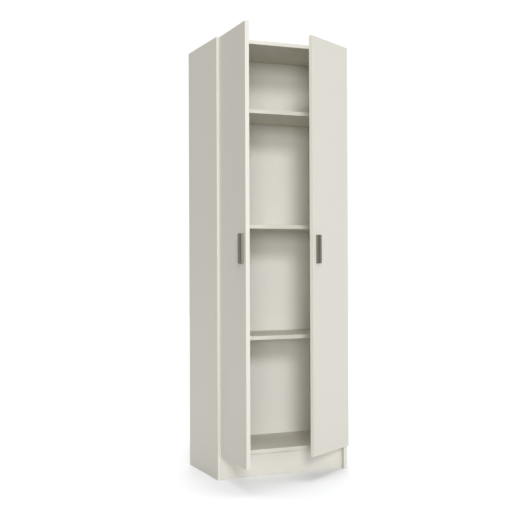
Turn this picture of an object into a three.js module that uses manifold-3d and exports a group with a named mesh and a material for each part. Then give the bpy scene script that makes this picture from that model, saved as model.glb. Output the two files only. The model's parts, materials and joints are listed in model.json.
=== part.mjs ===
// Two-door storage cupboard: melamine-faced boards round a plinth, one fixed and two loose shelves,
// a hardboard back in grooves, and two overlay doors on concealed cup hinges.
// Millimetres. +X to the right, +Y to the back, +Z up. The origin is on the floor, under the middle
// of the plinth board. The doors are drawn closed, and their groups then swing them open.
import * as THREE from "three";
import { mergeVertices } from "three/addons/utils/BufferGeometryUtils.js";
import Module from "manifold-3d";

// ---- Overall sizes of the carcass
const WIDTH = 590;
const HEIGHT = 1800;
const DEPTH = 350;
const BOARD = 16;

// ---- Gaps between pieces
const JOINT_GAP = 0.3; // between two faces that touch
const RUNNING_GAP = 0.3; // round a pin that turns in an eye
const SHELF_GAP = 0.6; // at each end of a loose shelf

// ---- Carcass
const PLINTH_HEIGHT = 96;
const PLINTH_RECESS = 18;
const BACK_THICKNESS = 3;
const BACK_INSET = 12; // rear edges to the back panel
const GROOVE_DEPTH = 8;
const SHELF_SETBACK = 30;
const FIXED_SHELF_HEIGHT = 1024; // floor to the underside, as is the next one
const LOWER_SHELF_HEIGHT = 561;
const TOP_BAY_HEIGHT = 264; // clear height over the upper shelf

// ---- Shelf pins and their holes
const PIN_RADIUS = 2.4;
const PIN_HOLE_GAP = 0.2; // round the pin
const PIN_HOLE_DEPTH = 9;
const PIN_END_GAP = 1; // pin's end to the bottom of its hole
const PIN_REACH = 8; // pin length under the shelf
const PIN_COLLAR_RIM = 1.6; // collar beyond the pin
const PIN_COLLAR_LENGTH = 1.5;
const HOLE_PITCH = 32;
const HOLES_EACH_WAY = 2; // above and below the one in use
const PIN_COLUMN_INSET = 45; // from the shelf's front edge, and from its back edge

// ---- Doors
const DOOR_THICKNESS = 16;
const DOOR_GAP = 2; // closed door to the carcass
const DOOR_REVEAL = 1.5; // at the top and the outer side
const DOOR_FLOOR_REVEAL = 3; // below the bottom panel's underside
const MEETING_GAP = 3; // between the two doors
const OPENING = { left: 91.5, right: 33.5 }; // degrees that each door stands open

// ---- Handles: a solid bar of one section, with a finger groove along each flank
const HANDLE_LENGTH = 116;
const HANDLE_WIDTH = 10;
const HANDLE_REACH = 20;
const HANDLE_CORNER = 2; // section corners away from the door
const HANDLE_END_CORNER = 3.5; // bar corners away from the door, seen from the side
const HANDLE_GROOVE = [3, 15]; // from the door, where each groove starts and stops
const HANDLE_GROOVE_DEPTH = 1.6;
const HANDLE_EDGE = 30; // handle centre to the door's free edge
const HANDLE_HEIGHT = 936; // floor to the handle's middle
const SCREW_SPACING = 96;
const SCREW_RADIUS = 2;
const SCREW_HOLE_GAP = 0.4; // round the screw
const SCREW_BITE = 10; // screw length inside the handle
const SCREW_HEAD_RIM = 2.2; // head beyond the shank
const SCREW_HEAD_LENGTH = 2.4;

// ---- Door bumpers
const BUMPER_RADIUS = 4.5;
const BUMPER_INSET = 40; // from the door's free edge

// ---- Concealed hinges. Places are [u, v]: u inwards from the carcass's outer side face and v back
// from its front edges, with the door closed.
const HINGE_END_INSET = 100; // top and bottom hinges to the door's ends
const ARM_PIVOT_OUTER = [42, 12];
const ARM_PIVOT_INNER = [34.19, -0.33];
const CUP_PIVOT_OUTER = [12.03, -5.9];
const CUP_PIVOT_INNER = [13.04, -7.65];
const OUTER_LINK_RATE = 0.292; // link turn for each degree of door turn, the other way
const INNER_LINK_RATE = 0.4;
const OUTER_LINK_BEND = [[14.5, -9.2], [19, -9.2], [24.5, -3.5]];
const INNER_LINK_BEND = [[15.4, -10.2], [22, -10.2], [26.6, -6.4]];
const LINK_HALF_WIDTH = 1.4;
const EYE_WALL = 0.8; // round the hole of an eye
const LINK_NEAR = 1; // the links lie side by side, one each side of the hinge's middle
const LINK_FAR = 4;
const HINGE_PIN_RADIUS = 1;
const OPEN_PIVOT_GAP = 0.8;
const OPEN_EYE_WALL = 1;
const RIVET_RIM = 0.8; // rivet head beyond the pin
const RIVET_LENGTH = 0.7;
const PLATE_THICKNESS = 2;
const PLATE_SPINE = 1.6; // the rail on the plate that the arm sits on
const PLATE_HOLE_SPREAD = 16; // screw holes above and below the middle
const PLATE_HOLE_RADIUS = 2.6;
const PLATE_WINGS = [29, 45]; // front edges to where the wings start and stop
const PLATE_RAIL = [26, 70];
const PLATE_HALF_HEIGHT = 24;
const ARM_HALF_HEIGHT = 5.7;
const ARM_WALL = 1.2;
const ARM_SKIN = 1.4; // the channel's back
const ARM_REAR = 66; // front edges to the arm's rear end
const ARM_NOSE_WALL = 2.4; // round the outer pin
const CUP_RADIUS = 17.2;
const CUP_DEPTH = 11.7; // below the door's inner face
const CUP_WALL = 1;
const CUP_CORNER = 1.5;
const CUP_EDGE = 5; // door edge to the cup's pocket
const NOTCH_DEPTH = 1.2; // below the door's inner face
const NOTCH_GAP = 1.2; // above and below the links
const FLANGE_RIM = 2.3; // flange beyond the cup
const FLANGE_THICKNESS = 1;
const EAR_REACH = 6.8; // cup wall to the middle of each ear's screw
const EAR_RADIUS = 6.5;
const EAR_HOLE_RADIUS = 2.2;

// ---- Worked out from the values above
const FRONT = -(PLINTH_RECESS + BOARD / 2);
const REAR = FRONT + DEPTH;
const HALF = WIDTH / 2;
const INNER_HALF = HALF - BOARD;
const BOTTOM_TOP = PLINTH_HEIGHT + BOARD;
const TOP_UNDERSIDE = HEIGHT - BOARD;
const BACK_FRONT = REAR - BACK_INSET - BACK_THICKNESS;
const DOOR_BOTTOM = PLINTH_HEIGHT + DOOR_FLOOR_REVEAL;
const DOOR_TOP = HEIGHT - DOOR_REVEAL;
const DOOR_WIDTH = HALF - DOOR_REVEAL - MEETING_GAP / 2;
const DOOR_INNER = FRONT - DOOR_GAP;
const DOOR_OUTER = DOOR_INNER - DOOR_THICKNESS;
const CUP_POCKET_RADIUS = CUP_RADIUS + JOINT_GAP;
const CUP_CENTRE = DOOR_REVEAL + CUP_EDGE + CUP_POCKET_RADIUS;
const HINGE_HEIGHTS = {
  lower: DOOR_BOTTOM + HINGE_END_INSET,
  middle: (DOOR_BOTTOM + DOOR_TOP) / 2,
  upper: DOOR_TOP - HINGE_END_INSET,
};
const HANDLE_U = DOOR_REVEAL + DOOR_WIDTH - HANDLE_EDGE;
const HANDLE_SCREWS = { lower: -SCREW_SPACING / 2, upper: SCREW_SPACING / 2 };
const SCREW_HOLE_RADIUS = SCREW_RADIUS + SCREW_HOLE_GAP;
const LINK_EYE_RADIUS = HINGE_PIN_RADIUS + RUNNING_GAP + EYE_WALL;
const OPEN_EYE_RADIUS = HINGE_PIN_RADIUS + OPEN_PIVOT_GAP + OPEN_EYE_WALL;
const FLANGE_RADIUS = CUP_RADIUS + FLANGE_RIM;
const EAR_SPREAD = CUP_RADIUS + EAR_REACH;
const PIN_COLUMNS = {
  front: FRONT + SHELF_SETBACK + PIN_COLUMN_INSET,
  rear: BACK_FRONT - PIN_COLUMN_INSET,
};
const LOOSE_SHELVES = { lower: LOWER_SHELF_HEIGHT, upper: TOP_UNDERSIDE - TOP_BAY_HEIGHT - BOARD };
const PIN_HOLE_RADIUS = PIN_RADIUS + PIN_HOLE_GAP;
const SIDES = { left: -1, right: 1 };

// ---- Finishes
function finish(color, roughness, metalness) {
  return new THREE.MeshStandardMaterial({ color, roughness, metalness });
}
const WHITE_MELAMINE = finish(0xe6e3dc, 0.5, 0);
const WHITE_HARDBOARD = finish(0xdedbd2, 0.65, 0);
const SATIN_METAL = finish(0x8a8577, 0.38, 0.85);
const NICKEL_STEEL = finish(0xb9b8b2, 0.3, 1);
const CLEAR_PLASTIC = finish(0xdcdcd6, 0.25, 0);

// ---- Solids
const wasm = await Module();
wasm.setup();

function solidOf(geometry) {
  const bare = geometry.clone();
  bare.deleteAttribute("normal");
  bare.deleteAttribute("uv");
  const merged = mergeVertices(bare, 1e-4);
  return new wasm.Manifold(
    new wasm.Mesh({
      numProp: 3,
      vertProperties: merged.attributes.position.array,
      triVerts: new Uint32Array(merged.index.array),
    }),
  );
}

function joined(solids) {
  return solids.reduce((whole, next) => whole.add(next));
}

function cut(solid, tools) {
  return tools.reduce((rest, tool) => rest.subtract(tool), solid);
}

function meshOf(name, solid, material) {
  const { vertProperties, triVerts } = solid.getMesh();
  const geometry = new THREE.BufferGeometry();
  geometry.setAttribute("position", new THREE.BufferAttribute(vertProperties, 3));
  geometry.setIndex(new THREE.BufferAttribute(triVerts, 1));
  geometry.computeVertexNormals();
  const mesh = new THREE.Mesh(geometry, material);
  mesh.name = name;
  return mesh;
}

// A box between two limits along each axis, given in either order.
function block([x0, x1], [y0, y1], [z0, z1]) {
  const box = new THREE.BoxGeometry(Math.abs(x1 - x0), Math.abs(y1 - y0), Math.abs(z1 - z0));
  box.translate((x0 + x1) / 2, (y0 + y1) / 2, (z0 + z1) / 2);
  return solidOf(box);
}

// A round bar along one axis between two points on that axis, through a centre on the other two.
function rod(axis, centre, [from, to], radius, segments = 16) {
  const bar = new THREE.CylinderGeometry(radius, radius, Math.abs(to - from), segments);
  if (axis === "x") bar.rotateZ(Math.PI / 2);
  if (axis === "z") bar.rotateX(Math.PI / 2);
  const middle = (from + to) / 2;
  const [a, b] = centre;
  const place = { x: [middle, a, b], y: [a, middle, b], z: [a, b, middle] }[axis];
  bar.translate(...place);
  return solidOf(bar);
}

// A tool for a round hole: a rod whose flats, not its corners, lie at the radius.
function bore(axis, centre, ends, radius, segments = 16) {
  return rod(axis, centre, ends, radius / Math.cos(Math.PI / segments), segments);
}

// A flat outline in the XY plane, carried up from one height to another.
function plate(points, [bottom, top]) {
  const shape = new THREE.Shape(points.map(([x, y]) => new THREE.Vector2(x, y)));
  const slab = new THREE.ExtrudeGeometry(shape, { depth: top - bottom, bevelEnabled: false });
  slab.translate(0, 0, bottom);
  return solidOf(slab);
}

// A strip of one width along a bent line in the XY plane, round at its ends and bends.
function strip(points, halfWidth, heights) {
  const pieces = points.map((point) => rod("z", point, heights, halfWidth, 8));
  for (let i = 1; i < points.length; i++) {
    const [x0, y0] = points[i - 1];
    const [x1, y1] = points[i];
    const length = Math.hypot(x1 - x0, y1 - y0);
    const [sx, sy] = [(-(y1 - y0) / length) * halfWidth, ((x1 - x0) / length) * halfWidth];
    const corners = [[x0 - sx, y0 - sy], [x1 - sx, y1 - sy], [x1 + sx, y1 + sy], [x0 + sx, y0 + sy]];
    pieces.push(plate(corners, heights));
  }
  return joined(pieces);
}

// [u, v] on one side of the carcass as [x, y].
function at(side, [u, v]) {
  return [side * (HALF - u), FRONT + v];
}

// ---- Carcass pieces
function backGroove([x0, x1], [z0, z1]) {
  const rearGap = [BACK_FRONT - JOINT_GAP, BACK_FRONT + BACK_THICKNESS + JOINT_GAP];
  return block([x0, x1], rearGap, [z0, z1]);
}

function sidePanel(side) {
  const inner = side * INNER_HALF;
  const board = block([side * HALF, inner], [FRONT, REAR], [0, HEIGHT]);
  const tools = [backGroove([inner - side, inner + side * GROOVE_DEPTH], [-1, HEIGHT + 1])];
  for (const y of Object.values(PIN_COLUMNS)) {
    for (const underside of Object.values(LOOSE_SHELVES)) {
      for (let step = -HOLES_EACH_WAY; step <= HOLES_EACH_WAY; step++) {
        const z = underside - PIN_RADIUS - JOINT_GAP + step * HOLE_PITCH;
        tools.push(bore("x", [y, z], [inner - side, inner + side * PIN_HOLE_DEPTH], PIN_HOLE_RADIUS, 8));
      }
    }
  }
  return cut(board, tools);
}

// A board between the sides, over the carcass's whole depth, with the back's groove in one face.
function crossPanel([bottom, top], grooveHeights) {
  const reach = INNER_HALF - JOINT_GAP;
  const board = block([-reach, reach], [FRONT, REAR], [bottom, top]);
  return cut(board, [backGroove([-reach - 1, reach + 1], grooveHeights)]);
}

function shelf(underside, endGap) {
  const reach = INNER_HALF - endGap;
  const depth = [FRONT + SHELF_SETBACK, BACK_FRONT - JOINT_GAP];
  return block([-reach, reach], depth, [underside, underside + BOARD]);
}

function backPanel() {
  const tongue = GROOVE_DEPTH - 2 * JOINT_GAP;
  const reach = INNER_HALF + tongue;
  const heights = [BOTTOM_TOP - tongue, TOP_UNDERSIDE + tongue];
  return block([-reach, reach], [BACK_FRONT, BACK_FRONT + BACK_THICKNESS], heights);
}

// A shelf pin: a shank in the side panel's hole, a collar on its face and a peg under the shelf.
function shelfPin(side, y, underside) {
  const z = underside - PIN_RADIUS - JOINT_GAP;
  const face = side * (INNER_HALF - JOINT_GAP);
  const peg = [side * (INNER_HALF + PIN_HOLE_DEPTH - PIN_END_GAP), face - side * PIN_REACH];
  const rim = PIN_RADIUS + PIN_COLLAR_RIM;
  const depth = [y - rim, y + rim];
  const collar = block([face, face - side * PIN_COLLAR_LENGTH], depth, [z - rim, z + PIN_RADIUS]);
  return joined([rod("x", [y, z], peg, PIN_RADIUS, 10), collar]);
}

// ---- Door pieces, drawn closed
function doorBoard(side) {
  const [hingeEdge] = at(side, [DOOR_REVEAL, 0]);
  const [freeEdge] = at(side, [DOOR_REVEAL + DOOR_WIDTH, 0]);
  const board = block([hingeEdge, freeEdge], [DOOR_OUTER, DOOR_INNER], [DOOR_BOTTOM, DOOR_TOP]);
  const [cupX] = at(side, [CUP_CENTRE, 0]);
  const pocket = [DOOR_INNER - CUP_DEPTH - JOINT_GAP, DOOR_INNER + 1];
  const pockets = Object.values(HINGE_HEIGHTS).map((z) =>
    bore("y", [cupX, z], pocket, CUP_POCKET_RADIUS, 24),
  );
  const [handleX] = at(side, [HANDLE_U, 0]);
  const screwHoles = Object.values(HANDLE_SCREWS).map((rise) =>
    bore("y", [handleX, HANDLE_HEIGHT + rise], [DOOR_OUTER - 1, DOOR_INNER + 1], SCREW_HOLE_RADIUS, 12),
  );
  return cut(board, [...pockets, ...screwHoles]);
}

// The bar's section, x across it and y out of the door: grooved flanks and rounded outer corners.
function handleSection() {
  const half = HANDLE_WIDTH / 2;
  const [start, stop] = HANDLE_GROOVE;
  const middle = (start + stop) / 2;
  const shoulder = HANDLE_REACH - HANDLE_CORNER;
  const pull = half - 2 * HANDLE_GROOVE_DEPTH; // the curve goes half way to its control point
  const section = new THREE.Shape();
  section.moveTo(half, 0);
  section.lineTo(half, start);
  section.quadraticCurveTo(pull, middle, half, stop);
  section.lineTo(half, shoulder);
  section.absarc(half - HANDLE_CORNER, shoulder, HANDLE_CORNER, 0, Math.PI / 2, false);
  section.absarc(HANDLE_CORNER - half, shoulder, HANDLE_CORNER, Math.PI / 2, Math.PI, false);
  section.lineTo(-half, stop);
  section.quadraticCurveTo(-pull, middle, -half, start);
  section.lineTo(-half, 0);
  return section;
}

// The bar's outline from the side, x out of the door and y up: rounded at its two outer corners.
function handleOutline() {
  const end = HANDLE_LENGTH / 2;
  const shoulder = HANDLE_REACH - HANDLE_END_CORNER;
  const outline = new THREE.Shape();
  outline.moveTo(-1, -end);
  outline.absarc(shoulder, HANDLE_END_CORNER - end, HANDLE_END_CORNER, -Math.PI / 2, 0, false);
  outline.absarc(shoulder, end - HANDLE_END_CORNER, HANDLE_END_CORNER, 0, Math.PI / 2, false);
  outline.lineTo(-1, end);
  return outline;
}

function handle(side) {
  const [x] = at(side, [HANDLE_U, 0]);
  const foot = DOOR_OUTER - JOINT_GAP;
  const curves = { bevelEnabled: false, curveSegments: 6 };
  const bar = new THREE.ExtrudeGeometry(handleSection(), { depth: HANDLE_LENGTH, ...curves });
  bar.translate(0, 0, -HANDLE_LENGTH / 2);
  bar.rotateZ(Math.PI);
  const profile = new THREE.ExtrudeGeometry(handleOutline(), { depth: 2 * HANDLE_WIDTH, ...curves });
  profile.translate(0, 0, -HANDLE_WIDTH);
  profile.applyMatrix4(new THREE.Matrix4().makeBasis(
    new THREE.Vector3(0, -1, 0), new THREE.Vector3(0, 0, 1), new THREE.Vector3(-1, 0, 0),
  ));
  for (const piece of [bar, profile]) piece.translate(x, foot, HANDLE_HEIGHT);
  const threads = Object.values(HANDLE_SCREWS).map((rise) =>
    bore("y", [x, HANDLE_HEIGHT + rise], [foot + 1, foot - SCREW_BITE - 1], SCREW_HOLE_RADIUS, 12),
  );
  return cut(solidOf(bar).intersect(solidOf(profile)), threads);
}

function handleScrew(side, rise) {
  const [x] = at(side, [HANDLE_U, 0]);
  const z = HANDLE_HEIGHT + rise;
  const under = DOOR_INNER + JOINT_GAP;
  return joined([
    rod("y", [x, z], [DOOR_OUTER - SCREW_BITE, under + SCREW_HEAD_LENGTH / 2], SCREW_RADIUS, 12),
    rod("y", [x, z], [under, under + SCREW_HEAD_LENGTH], SCREW_RADIUS + SCREW_HEAD_RIM, 16),
  ]);
}

function bumper(side, z) {
  const [x] = at(side, [DOOR_REVEAL + DOOR_WIDTH - BUMPER_INSET, 0]);
  return rod("y", [x, z], [DOOR_INNER + JOINT_GAP / 2, FRONT - JOINT_GAP], BUMPER_RADIUS, 16);
}

// ---- Hinge pieces, drawn closed
function hingePlate(side, z) {
  const face = BOARD + JOINT_GAP;
  const [x0] = at(side, [face, 0]);
  const [x1] = at(side, [face + PLATE_THICKNESS, 0]);
  const [x2] = at(side, [face + PLATE_THICKNESS + PLATE_SPINE, 0]);
  const [wings, rail] = [PLATE_WINGS, PLATE_RAIL].map((ends) => ends.map((v) => FRONT + v));
  const solid = joined([
    block([x0, x1], wings, [z - PLATE_HALF_HEIGHT, z + PLATE_HALF_HEIGHT]),
    block([x0, x2], rail, [z - ARM_HALF_HEIGHT, z + ARM_HALF_HEIGHT]),
  ]);
  const holes = [-PLATE_HOLE_SPREAD, PLATE_HOLE_SPREAD].map((rise) =>
    bore("x", [(wings[0] + wings[1]) / 2, z + rise], [x0 + side, x2 - side], PLATE_HOLE_RADIUS, 8),
  );
  return cut(solid, holes);
}

// The arm: a channel whose two cheeks hold the links' fixed pins, open towards the cup.
function hingeArm(side, z) {
  const seat = BOARD + 2 * JOINT_GAP + PLATE_THICKNESS + PLATE_SPINE;
  const [outerU, outerV] = ARM_PIVOT_OUTER;
  const [innerU, innerV] = ARM_PIVOT_INNER;
  const floor = seat + ARM_SKIN;
  const outline = [
    [seat, ARM_REAR], [seat + 6.8, ARM_REAR], [seat + 8.3, ARM_REAR - 22], [outerU + 2.8, outerV + 9],
    [outerU + 3.2, outerV - 1], [innerU + 2, innerV - 0.7], [innerU - 1.9, innerV - 0.9],
    [innerU - 5.7, innerV + 8.3], [seat + 2.3, innerV + 29.3], [seat, innerV + 34.3],
  ];
  const hollow = [
    [floor, ARM_REAR - ARM_SKIN], [seat + 5.5, ARM_REAR - ARM_SKIN], [seat + 6.9, ARM_REAR - 22.5],
    [outerU + 1.2, outerV + 8.6], [outerU + 6, outerV + 2], [outerU + 6, innerV - 5.7],
    [seat - 2, innerV - 5.7], [seat - 2, innerV + 36.3], [floor, innerV + 38.3],
  ];
  const outer = [z - ARM_HALF_HEIGHT, z + ARM_HALF_HEIGHT];
  const inner = [outer[0] + ARM_WALL, outer[1] - ARM_WALL];
  const place = (points) => points.map((point) => at(side, point));
  const outerPin = at(side, ARM_PIVOT_OUTER);
  const innerPin = at(side, ARM_PIVOT_INNER);
  const noses = [
    rod("z", outerPin, outer, HINGE_PIN_RADIUS + ARM_NOSE_WALL, 14),
    rod("z", innerPin, outer, LINK_EYE_RADIUS, 12),
  ];
  const channel = cut(joined([plate(place(outline), outer), ...noses]), [plate(place(hollow), inner)]);
  const rivets = [[outer[0] - RIVET_LENGTH, inner[0]], [inner[1], outer[1] + RIVET_LENGTH]];
  return joined([
    channel,
    rod("z", outerPin, outer, HINGE_PIN_RADIUS, 8),
    rod("z", innerPin, [outer[0], z - LINK_NEAR + JOINT_GAP], HINGE_PIN_RADIUS, 8),
    ...rivets.map((ends) => rod("z", outerPin, ends, HINGE_PIN_RADIUS + RIVET_RIM, 8)),
  ]);
}

// A cranked link in one layer of the hinge, from its eye on the arm, round a bend, to its eye in the cup.
function link(side, armPivot, bend, cupPivot, cupEyeRadius, cupGap, layer) {
  const place = (points) => points.map((point) => at(side, point));
  const body = strip(place([cupPivot, ...bend, armPivot]), LINK_HALF_WIDTH, layer);
  const through = [layer[0] - 1, layer[1] + 1];
  return cut(
    joined([body, rod("z", at(side, armPivot), layer, LINK_EYE_RADIUS, 12),
      rod("z", at(side, cupPivot), layer, cupEyeRadius, 12)]),
    [bore("z", at(side, armPivot), through, HINGE_PIN_RADIUS + RUNNING_GAP, 8),
      bore("z", at(side, cupPivot), through, HINGE_PIN_RADIUS + cupGap, 10)],
  );
}

function outerLink(side, z) {
  const layer = [z + LINK_NEAR, z + LINK_FAR];
  return link(side, ARM_PIVOT_OUTER, OUTER_LINK_BEND, CUP_PIVOT_OUTER, LINK_EYE_RADIUS, RUNNING_GAP, layer);
}

function innerLink(side, z) {
  const layer = [z - LINK_FAR, z - LINK_NEAR];
  const [from, to] = [ARM_PIVOT_INNER, CUP_PIVOT_INNER];
  return link(side, from, INNER_LINK_BEND, to, OPEN_EYE_RADIUS, OPEN_PIVOT_GAP, layer);
}

// The cup: a bowl in the door's pocket with a flange, two screw ears, a notch in its rim for the
// links, and a pin from each end of the bowl that stops short of the other link.
function hingeCup(side, z) {
  const [x] = at(side, [CUP_CENTRE, 0]);
  const seat = DOOR_INNER + JOINT_GAP;
  const floor = DOOR_INNER - CUP_DEPTH;
  const inner = CUP_RADIUS - CUP_WALL;
  const profile = [
    [0, floor], [CUP_RADIUS - CUP_CORNER, floor], [CUP_RADIUS, floor + CUP_CORNER], [CUP_RADIUS, seat],
    [FLANGE_RADIUS, seat], [FLANGE_RADIUS, seat + FLANGE_THICKNESS], [inner, seat + FLANGE_THICKNESS],
    [inner, floor + CUP_WALL], [0, floor + CUP_WALL],
  ];
  const bowl = new THREE.LatheGeometry(profile.map(([r, h]) => new THREE.Vector2(r, h)), 24);
  bowl.translate(x, 0, z);
  const flange = [seat, seat + FLANGE_THICKNESS];
  const ears = [-EAR_SPREAD, EAR_SPREAD].map((rise) =>
    cut(rod("y", [x, z + rise], flange, EAR_RADIUS, 12),
      [bore("y", [x, z + rise], [seat - 1, flange[1] + 1], EAR_HOLE_RADIUS, 8)]),
  );
  const notchU = CUP_CENTRE - Math.sqrt(inner ** 2 - ARM_HALF_HEIGHT ** 2);
  const notchX = [at(side, [0, 0])[0], at(side, [notchU, 0])[0]];
  const notchHalf = LINK_FAR + NOTCH_GAP;
  const notch = block(notchX, [DOOR_INNER - NOTCH_DEPTH, flange[1] + 1], [z - notchHalf, z + notchHalf]);
  const reach = (u) => Math.sqrt(inner ** 2 - (CUP_CENTRE - u) ** 2) + CUP_WALL / 2;
  const pins = [
    rod("z", at(side, CUP_PIVOT_OUTER), [z + LINK_NEAR - JOINT_GAP, z + reach(CUP_PIVOT_OUTER[0])],
      HINGE_PIN_RADIUS, 8),
    rod("z", at(side, CUP_PIVOT_INNER), [z - reach(CUP_PIVOT_INNER[0]), z - LINK_NEAR + JOINT_GAP],
      HINGE_PIN_RADIUS, 8),
  ];
  return joined([cut(joined([solidOf(bowl), ...ears]), [notch]), ...pins]);
}

// ---- Assembly
// A group that turns about an upright axis through a place given with the doors closed.
function pivot(parent, [x, y], degrees) {
  const turned = new THREE.Group();
  turned.position.set(x, y, 0);
  turned.rotation.z = THREE.MathUtils.degToRad(degrees);
  const held = new THREE.Group();
  held.position.set(-x, -y, 0);
  turned.add(held);
  parent.add(turned);
  return held;
}

const cupboard = new THREE.Group();

cupboard.add(
  meshOf("side_panel_left", sidePanel(SIDES.left), WHITE_MELAMINE),
  meshOf("side_panel_right", sidePanel(SIDES.right), WHITE_MELAMINE),
  meshOf("top_panel", crossPanel([TOP_UNDERSIDE, HEIGHT], [TOP_UNDERSIDE - 1, TOP_UNDERSIDE + GROOVE_DEPTH]),
    WHITE_MELAMINE),
  meshOf("bottom_panel", crossPanel([PLINTH_HEIGHT, BOTTOM_TOP], [BOTTOM_TOP - GROOVE_DEPTH, BOTTOM_TOP + 1]),
    WHITE_MELAMINE),
  meshOf("plinth_board", block([-INNER_HALF + JOINT_GAP, INNER_HALF - JOINT_GAP],
    [FRONT + PLINTH_RECESS, FRONT + PLINTH_RECESS + BOARD], [0, PLINTH_HEIGHT - JOINT_GAP]), WHITE_MELAMINE),
  meshOf("back_panel", backPanel(), WHITE_HARDBOARD),
  meshOf("shelf_lower", shelf(LOOSE_SHELVES.lower, SHELF_GAP), WHITE_MELAMINE),
  meshOf("shelf_middle", shelf(FIXED_SHELF_HEIGHT, JOINT_GAP), WHITE_MELAMINE),
  meshOf("shelf_upper", shelf(LOOSE_SHELVES.upper, SHELF_GAP), WHITE_MELAMINE),
);

for (const [hand, side] of Object.entries(SIDES)) {
  for (const [level, underside] of Object.entries(LOOSE_SHELVES)) {
    for (const [row, y] of Object.entries(PIN_COLUMNS)) {
      cupboard.add(meshOf(`shelf_pin_${level}_${hand}_${row}`, shelfPin(side, y, underside), NICKEL_STEEL));
    }
  }

  const opening = OPENING[hand] * side;
  const outerLinks = pivot(cupboard, at(side, ARM_PIVOT_OUTER), -OUTER_LINK_RATE * opening);
  const innerLinks = pivot(cupboard, at(side, ARM_PIVOT_INNER), -INNER_LINK_RATE * opening);
  const door = pivot(outerLinks, at(side, CUP_PIVOT_OUTER), (1 + OUTER_LINK_RATE) * opening);

  for (const [level, z] of Object.entries(HINGE_HEIGHTS)) {
    const name = `${hand}_${level}`;
    cupboard.add(meshOf(`hinge_plate_${name}`, hingePlate(side, z), NICKEL_STEEL));
    cupboard.add(meshOf(`hinge_arm_${name}`, hingeArm(side, z), NICKEL_STEEL));
    outerLinks.add(meshOf(`hinge_outer_link_${name}`, outerLink(side, z), NICKEL_STEEL));
    innerLinks.add(meshOf(`hinge_inner_link_${name}`, innerLink(side, z), NICKEL_STEEL));
    door.add(meshOf(`hinge_cup_${name}`, hingeCup(side, z), NICKEL_STEEL));
  }

  door.add(meshOf(`door_${hand}`, doorBoard(side), WHITE_MELAMINE));
  door.add(meshOf(`handle_${hand}`, handle(side), SATIN_METAL));
  for (const [level, rise] of Object.entries(HANDLE_SCREWS)) {
    door.add(meshOf(`handle_screw_${hand}_${level}`, handleScrew(side, rise), NICKEL_STEEL));
  }
  door.add(meshOf(`bumper_${hand}_lower`, bumper(side, PLINTH_HEIGHT + BOARD / 2), CLEAR_PLASTIC));
  door.add(meshOf(`bumper_${hand}_upper`, bumper(side, HEIGHT - BOARD / 2), CLEAR_PLASTIC));
}

export default cupboard;
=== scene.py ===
"""Looks of a two-door storage cupboard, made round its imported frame: edged boards, a hardboard back,
bar handles, cup hinges and their screws, and a pale studio. Metres, +Z up, the front towards -Y."""

import json
import math

import bmesh
import bpy
import numpy as np
from bpy.props import FloatProperty, FloatVectorProperty, IntProperty, PointerProperty
from bpy.types import Operator, Panel, PropertyGroup
from mathutils import Matrix, Vector

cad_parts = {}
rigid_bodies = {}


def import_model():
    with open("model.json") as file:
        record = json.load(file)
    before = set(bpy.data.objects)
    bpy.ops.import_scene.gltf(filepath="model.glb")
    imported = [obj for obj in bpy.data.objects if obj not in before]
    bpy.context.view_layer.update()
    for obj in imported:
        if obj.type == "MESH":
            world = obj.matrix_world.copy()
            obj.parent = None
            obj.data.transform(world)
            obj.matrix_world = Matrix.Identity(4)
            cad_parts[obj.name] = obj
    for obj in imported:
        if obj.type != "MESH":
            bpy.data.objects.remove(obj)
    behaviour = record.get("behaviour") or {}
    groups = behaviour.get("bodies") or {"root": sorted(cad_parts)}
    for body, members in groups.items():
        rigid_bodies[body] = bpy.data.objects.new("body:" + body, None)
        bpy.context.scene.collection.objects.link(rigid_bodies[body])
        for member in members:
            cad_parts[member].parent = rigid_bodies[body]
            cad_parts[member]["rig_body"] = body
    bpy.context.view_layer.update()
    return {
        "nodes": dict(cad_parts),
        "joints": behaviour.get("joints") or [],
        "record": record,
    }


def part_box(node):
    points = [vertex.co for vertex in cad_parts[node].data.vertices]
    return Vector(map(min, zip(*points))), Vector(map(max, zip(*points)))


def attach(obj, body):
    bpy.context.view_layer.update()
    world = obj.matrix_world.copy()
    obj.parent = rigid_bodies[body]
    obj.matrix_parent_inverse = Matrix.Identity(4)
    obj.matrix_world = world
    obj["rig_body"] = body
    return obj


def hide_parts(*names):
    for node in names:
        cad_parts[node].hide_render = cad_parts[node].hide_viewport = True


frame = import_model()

bl_info = {
    "name": "Storage cupboard",
    "version": (1, 0, 0),
    "blender": (4, 5, 0),
    "location": "3D View > Sidebar > Cupboard",
    "description": "Builds the boards, doors, handles and hinges of a storage cupboard round its frame",
    "category": "Object",
}

MM = 0.001
HANDS = {"left": -1, "right": 1}
LEVELS = ("lower", "middle", "upper")
SHELVES = ("shelf_lower", "shelf_middle", "shelf_upper")
SAME_PLACE = 1e-6  # points nearer than this are one
SAME_PLANE = 0.5  # degrees between faces that are one flat face
SHORTEST_EASED = 40 * MM  # shorter edges of a board stay sharp
EASE_STEPS = 3
FACING = 0.9  # least cosine at which a face looks a given way
SKIN = 0.1 * MM  # how deep a board's outer faces are sought


# ---- Places on the frame


def turn_about(place, degrees):
    """A turn of so many degrees about the upright line through a place."""
    there = Matrix.Translation(place)
    return there @ Matrix.Rotation(math.radians(degrees), 4, "Z") @ there.inverted()


def joint(name):
    """The frame's joint of this name."""
    return next(j for j in frame["joints"] if j["name"] == name)


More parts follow.
